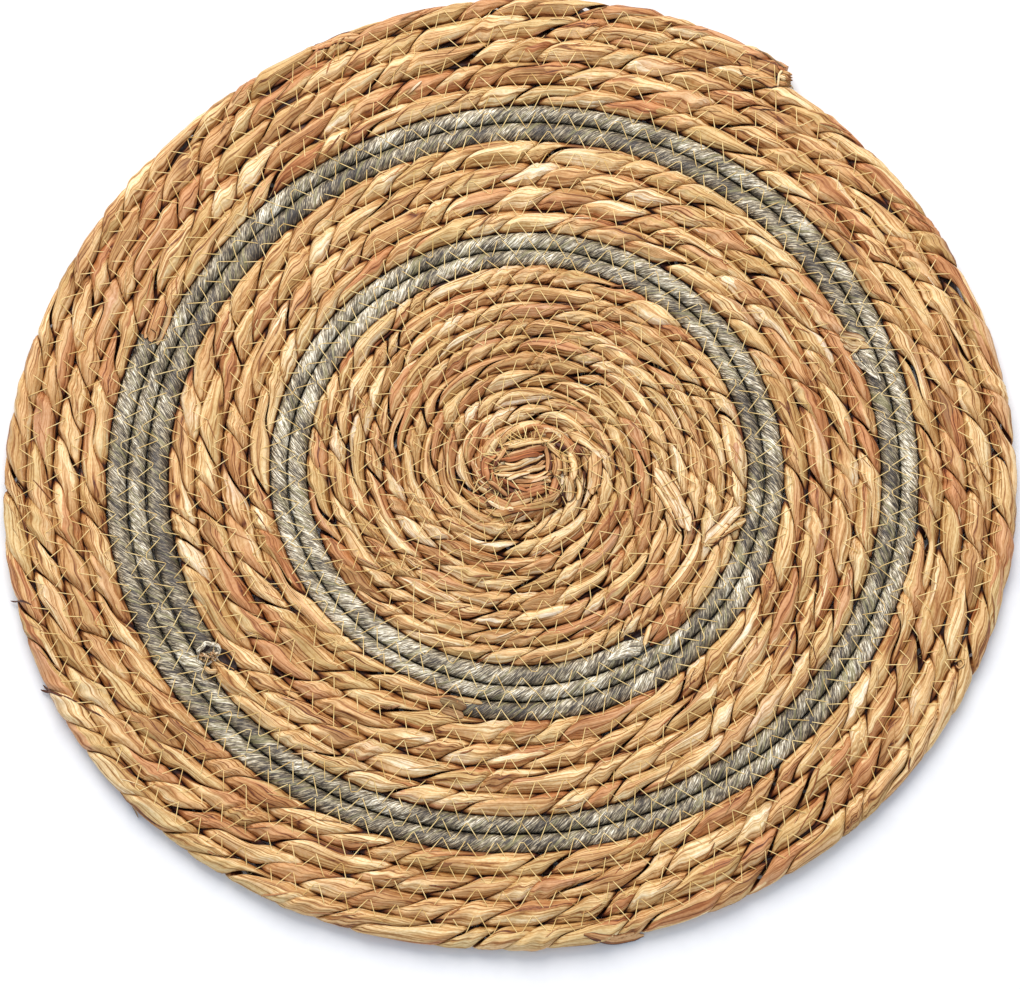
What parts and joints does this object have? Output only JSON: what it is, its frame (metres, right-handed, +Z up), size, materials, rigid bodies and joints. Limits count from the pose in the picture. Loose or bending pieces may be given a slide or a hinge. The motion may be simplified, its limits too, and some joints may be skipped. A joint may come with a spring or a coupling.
{
  "type": "seagrass placemat",
  "caption": "Round flat placemat coiled from twisted seagrass rope with bands of grey cord, sewn row to row with a golden zigzag.",
  "frame": {"origin": "middle of the mat's box in plan, on the surface the mat lies on", "axes": "+Z up out of the mat's upper face; +X to the right and +Y away from the viewer as in the picture; the coil runs outwards clockwise seen from +Z"},
  "size_m": [0.3814, 0.3778, 0.0088],
  "materials": {
    "seagrass": "dry twisted seagrass leaf, satin, straw to orange brown",
    "grey_cord": "grey and silver thread wound round a cord, slight glint",
    "gold_thread": "golden sewing thread, slight glint"
  },
  "bodies": {
    "root": {"rope_centre": "seagrass", "cord_inner": "grey_cord", "rope_middle": "seagrass", "cord_outer": "grey_cord", "rope_rim": "seagrass"}
  },
  "joints": []
}
